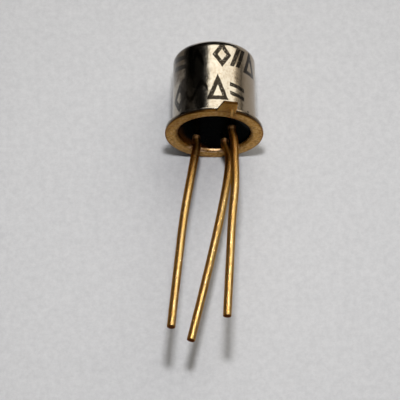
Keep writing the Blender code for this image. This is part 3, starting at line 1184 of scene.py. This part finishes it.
@dataclass(frozen=True)
class Wire:
    """One gold-plated lead, bent by hand.

    The bends are in hundredths of its reach: out along the axis, then to the right and up from
    its place in the glass.
    """

    number: int
    bearing: float
    reach: float
    bends: tuple[Triple, ...]
    inner_end: float
    headed: bool
    diameter: float = LEAD_DIAMETER
    circle: float = LEAD_CIRCLE
    straight: float = 0.10 * MM
    end_round: float = 0.03 * MM
    head_diameter: float = 0.62 * MM
    head_thickness: float = 0.12 * MM
    step: float = 0.09 * MM
    sides: int = 40

    def knots(self) -> list[Vector]:
        """Places the points that the wire's middle line passes.

        Returns:
            The points.
        """
        spot = Vector((*at_bearing(self.bearing, self.circle), 0.0))
        made = [spot, spot + Vector((0.0, 0.0, self.straight))]
        for along, right, up in self.bends:
            made.append(spot + Vector((right, up, along)) * self.reach / 100)
        return made

    def middle_line(self) -> list[Vector]:
        """Draws a smooth cubic line through the knots, whose slope at each follows its neighbours.

        Returns:
            Points on the line.
        """
        knots = self.knots()
        neighbours = zip(knots[:1] + knots, knots[1:] + knots[-1:])
        slopes = [(after - before) / (after.z - before.z) for before, after in neighbours]
        points = [knots[0]]
        for i, (start, end) in enumerate(zip(knots, knots[1:])):
            length = end.z - start.z
            pieces = max(1, round(length / self.step))
            for k in range(1, pieces + 1):
                t = k / pieces
                points.append(
                    start * (2 * t**3 - 3 * t**2 + 1)
                    + slopes[i] * length * (t**3 - 2 * t**2 + t)
                    + end * (3 * t**2 - 2 * t**3)
                    + slopes[i + 1] * length * (t**3 - t**2)
                )
        return points

    def stations(self) -> list[tuple[Vector, float]]:
        """Adds the inner end, with the head of a post, to the middle line.

        Returns:
            Points from the inner end on, with the wire's radius at each.
        """
        wire = self.diameter / 2
        line = self.middle_line()
        foot = Vector((*line[0].xy, 0.0))
        inside = [(foot - Vector((0, 0, self.inner_end)), wire)]
        if self.headed:
            rim = self.head_thickness / 3
            crown = self.head_diameter / 2
            levels = [
                (0.0, crown - rim),
                (rim * 0.13, crown - rim * 0.5),
                (rim * 0.5, crown - rim * 0.13),
                (rim, crown),
                (self.head_thickness - rim, crown),
                (self.head_thickness, wire),
            ]
            top = self.inner_end
            inside = [(foot - Vector((0, 0, top - deep)), radius) for deep, radius in levels]
        return inside + [(point, wire) for point in line]

    def frames(self, points: list[Vector]) -> list[Matrix]:
        """Places a ring of the wire at each point, square to the line and without a twist.

        Args:
            points: Points along the wire's middle line.

        Returns:
            Where each ring stands.
        """
        side = Vector((1.0, 0.0, 0.0))
        made = []
        for before, point, after in zip(points[:1] + points, points, points[1:] + points[-1:]):
            ahead = (after - before).normalized()
            side = (side - ahead * side.dot(ahead)).normalized()
            axes = Matrix((side, ahead.cross(side), ahead)).transposed()
            made.append(Matrix.Translation(point) @ axes.to_4x4())
        return made

    def drawn(self) -> Shape:
        """Draws the wire from its inner end to its cut end.

        Returns:
            Its shape, which knows the place on the straight wire at each vertex.
        """
        points, radii = zip(*self.stations())
        frames = self.frames(list(points))
        shape = bmesh.new()
        layer = shape.verts.layers.float_vector.new(WIRE_PLACE)
        bmesh.ops.create_circle(shape, cap_ends=True, segments=self.sides, radius=radii[0])
        for vert in shape.verts:
            across = vert.co.xy.normalized() * self.diameter / 2 / MM
            vert[layer] = Vector((across.x, across.y, -self.inner_end / MM))
        bmesh.ops.transform(shape, matrix=frames[0], verts=shape.verts)
        shape.faces.ensure_lookup_table()
        end, run = shape.faces[0], -self.inner_end
        for i in range(1, len(points)):
            made = bmesh.ops.extrude_face_region(shape, geom=[end])["geom"]
            ring = [g for g in made if isinstance(g, bmesh.types.BMVert)]
            end = next(g for g in made if isinstance(g, bmesh.types.BMFace))
            grown = Matrix.Scale(radii[i] / radii[i - 1], 4)
            step = frames[i] @ grown @ frames[i - 1].inverted()
            bmesh.ops.transform(shape, matrix=step, verts=ring)
            run += (points[i] - points[i - 1]).length
            for vert in ring:
                vert[layer] = Vector((vert[layer].x, vert[layer].y, run / MM))
        end.material_index = 1
        rounded(shape, Part.EDGES, list(end.edges), self.end_round, 4)
        bmesh.ops.recalc_face_normals(shape, faces=shape.faces)
        return shape

    def build(self, *finishes: Material) -> None:
        """Makes the lead and dresses it."""
        wire = as_object(f"wire_{self.number}", self.drawn())
        lay_down(wire, "lead_gold", f"lead_{self.number}", *finishes)


WIRES = (
    Wire(1, LEAD_BEARINGS[0], 11.76 * MM, (
        (5, 0.8, 0.0), (14, 1.15, 0.0), (30, 1.3, 0.0), (48, -0.15, 0.0), (72, -1.3, 0.0),
        (100, -2.65, 0.0),
    ), inner_end=1.75 * MM, headed=True),
    Wire(2, LEAD_BEARINGS[1], 12.48 * MM, (
        (6, 1.9, 0.0), (14, 1.7, 0.0), (26, 0.0, 0.0), (40, -2.5, 0.0), (56, -5.7, 0.0),
        (80, -10.9, 0.0), (100, -15.4, 0.0),
    ), inner_end=1.75 * MM, headed=True),
    Wire(3, LEAD_BEARINGS[2], 12.20 * MM, (
        (3, 0.35, 0.1), (10, -0.9, 0.6), (22, -2.8, 1.35), (41, -5.65, 2.45), (61, -7.75, 3.6),
        (83, -9.9, 4.9), (100, -11.5, 5.9),
    ), inner_end=1.035 * MM, headed=False),
)


@dataclass(frozen=True)
class Inside:
    """The chip, its preform and its bonds, which keep their CAD shapes."""

    chip: str = "die"
    golden: tuple[str, ...] = (
        "die_attach", "bond_gate_1", "bond_gate_2", "bond_drain", "bond_source",
    )

    def dress(self, nodes: dict[str, Thing]) -> None:
        """Gives the CAD nodes their finishes.

        Args:
            nodes: The CAD nodes by name.
        """
        silicon, gold = ChipSilicon().dress(), BondGold().dress()
        for name in (self.chip, *self.golden):
            finish = silicon if name == self.chip else gold
            for slot in nodes[name].material_slots:
                slot.material = finish
            log.info("%s: keeps its CAD shape", name)


@dataclass(frozen=True)
class SoftLight:
    """A lamp that no camera sees.

    azimuth, from +Y to the right, and elevation tell where it stands, in degrees. radiance is how
    bright its face looks, and forward is how far before the can's flange it is aimed.
    """

    name: str
    azimuth: float
    elevation: float
    distance: float
    size: Pair
    radiance: float
    tint: Colour
    round_face: bool = False
    forward: float = 0.0

    def aim(self) -> Vector:
        """The point that the lamp faces."""
        return Vector(LIE.origin) - Vector((0.0, self.forward, 0.0))

    def spot(self) -> Vector:
        """Finds where the lamp stands.

        Returns:
            The place of the middle of its face.
        """
        a, e = math.radians(self.azimuth), math.radians(self.elevation)
        ahead = Vector((math.sin(a) * math.cos(e), math.cos(a) * math.cos(e), math.sin(e)))
        return Vector(LIE.origin) + ahead * self.distance

    def build(self) -> None:
        """Makes the lamp."""
        lamp = bpy.data.lights.new(self.name, "AREA")
        lamp.shape = "ELLIPSE" if self.round_face else "RECTANGLE"
        lamp.size, lamp.size_y = self.size
        face = self.size[0] * self.size[1] * (math.pi / 4 if self.round_face else 1.0)
        lamp.energy = self.radiance * face * math.pi
        lamp.color = self.tint
        made = placed(self.name, lamp)
        made.location = self.spot()
        made.rotation_mode = "QUATERNION"
        made.rotation_quaternion = (self.spot() - self.aim()).to_track_quat("Z", "Y")
        made.visible_camera = False
        log.info("%s: %.3f W", self.name, lamp.energy)


@dataclass(frozen=True)
class DarkCard:
    """A dark card that stands near the can and only shows in glossy pieces.

    azimuth is the direction in which it stands, in degrees from +Y to the right, and aside is how
    far it is moved to the right along its own width, seen from the can. It reaches from low to top.
    """

    name: str
    azimuth: float
    distance: float
    aside: float
    width: float
    low: float
    top: float
    shade: float = 0.004

    def build(self) -> None:
        """Stands the card on the paper."""
        middle = Vector((0.0, LIE.origin[1], 0.0))
        turn = Matrix.Rotation(-math.radians(self.azimuth), 4, "Z")
        place = (self.aside, self.distance, (self.low + self.top) / 2)
        stand = Matrix.Translation(middle) @ turn @ Matrix.Translation(place)
        stand @= Matrix.Rotation(math.radians(90), 4, "X")
        stand @= Matrix.Diagonal((self.width, self.top - self.low, 1.0, 1.0))
        finish = new_material(self.name).surface({
            "Base Color": (self.shade, self.shade, self.shade, 1.0),
            "Roughness": 1.0,
            "Specular IOR Level": 0.0,
        })
        card = sheet(self.name, stand, finish)
        card.visible_camera = card.visible_diffuse = card.visible_shadow = False


@dataclass(frozen=True)
class Studio:
    """Pale paper under soft light in a dim room, with dark cards that only glossy pieces show."""

    floor_side: float = 0.6
    room: Colour = (0.040, 0.040, 0.0425)
    lamps: tuple[SoftLight, ...] = (
        SoftLight(
            "overhead_lamp", 40.0, 89.3, 0.060, (0.0085, 0.0085), 135.2, (1.0, 0.988, 0.988),
            round_face=True, forward=0.028,
        ),
        SoftLight("back_panel", -6.0, 66.0, 0.30, (0.26, 0.17), 0.68, (0.98, 0.97, 0.94)),
        SoftLight("left_panel", -62.0, 24.0, 0.30, (0.26, 0.22), 0.145, (1.0, 0.90, 0.76)),
        SoftLight("side_panel", 60.0, 14.0, 0.30, (0.11, 0.10), 0.42, (1.0, 0.96, 0.88)),
        SoftLight("rear_window", 30.0, 42.5, 0.30, (0.38, 0.26), 1.75, (1.0, 0.95, 0.85)),
    )
    cards: tuple[DarkCard, ...] = (
        DarkCard("left_card", -90.0, 0.010, 0.0175, 0.018, 0.005, 0.022),
        DarkCard("rear_card", -6.0, 0.018, 0.0, 0.024, 0.0, 0.0160),
    )

    def floor(self) -> None:
        """Lays the paper."""
        sheet("paper_floor", Matrix.Scale(self.floor_side, 4), Paper().dress())

    def surroundings(self) -> None:
        """Sets the world to a dim even room."""
        world = bpy.data.worlds.new("studio")
        bpy.context.scene.world = world
        tree = Tree(world)
        light = tree.node("Background", inputs={"Color": (*self.room, 1.0)})
        tree.node("OutputWorld", inputs={"Surface": light})

    def build(self) -> None:
        """Sets up floor, cards, lamps and world."""
        self.floor()
        self.surroundings()
        for thing in (*self.cards, *self.lamps):
            thing.build()


@dataclass(frozen=True)
class Viewpoint:
    """The camera at the photograph's angle."""

    elevation: float = 68.81
    distance: float = 0.25
    aside: float = -0.807 * MM
    below: float = -3.729 * MM
    lens: float = 395.8
    sensor: float = 36.0
    clip: Pair = (0.001, 10.0)

    def build(self) -> None:
        """Makes the camera."""
        e = math.radians(self.elevation)
        back = Vector((0.0, -math.cos(e), math.sin(e)))
        right = Vector((1.0, 0.0, 0.0))
        aim = Vector(LIE.origin) + right * self.aside + back.cross(right) * self.below
        data = bpy.data.cameras.new("photo_camera")
        data.lens, data.sensor_width = self.lens, self.sensor
        data.clip_start, data.clip_end = self.clip
        camera = placed("photo_camera", data)
        camera.rotation_mode = "QUATERNION"
        camera.location = aim + back * self.distance
        camera.rotation_quaternion = back.to_track_quat("Z", "Y")
        bpy.context.scene.camera = camera


def main() -> None:
    """Builds the looks round the frame."""
    logging.basicConfig(level=logging.INFO, format="%(name)s: %(message)s")
    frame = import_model()
    DrawnCap().build()
    Eyelet().build()
    Seal().build()
    gold, cut = WireGold().dress(), CutEnd().dress()
    for wire in WIRES:
        wire.build(gold, cut)
    Inside().dress(frame["nodes"])
    Studio().build()
    Viewpoint().build()
    bpy.context.scene.view_settings.view_transform = "Standard"


if __name__ == "__main__":
    main()
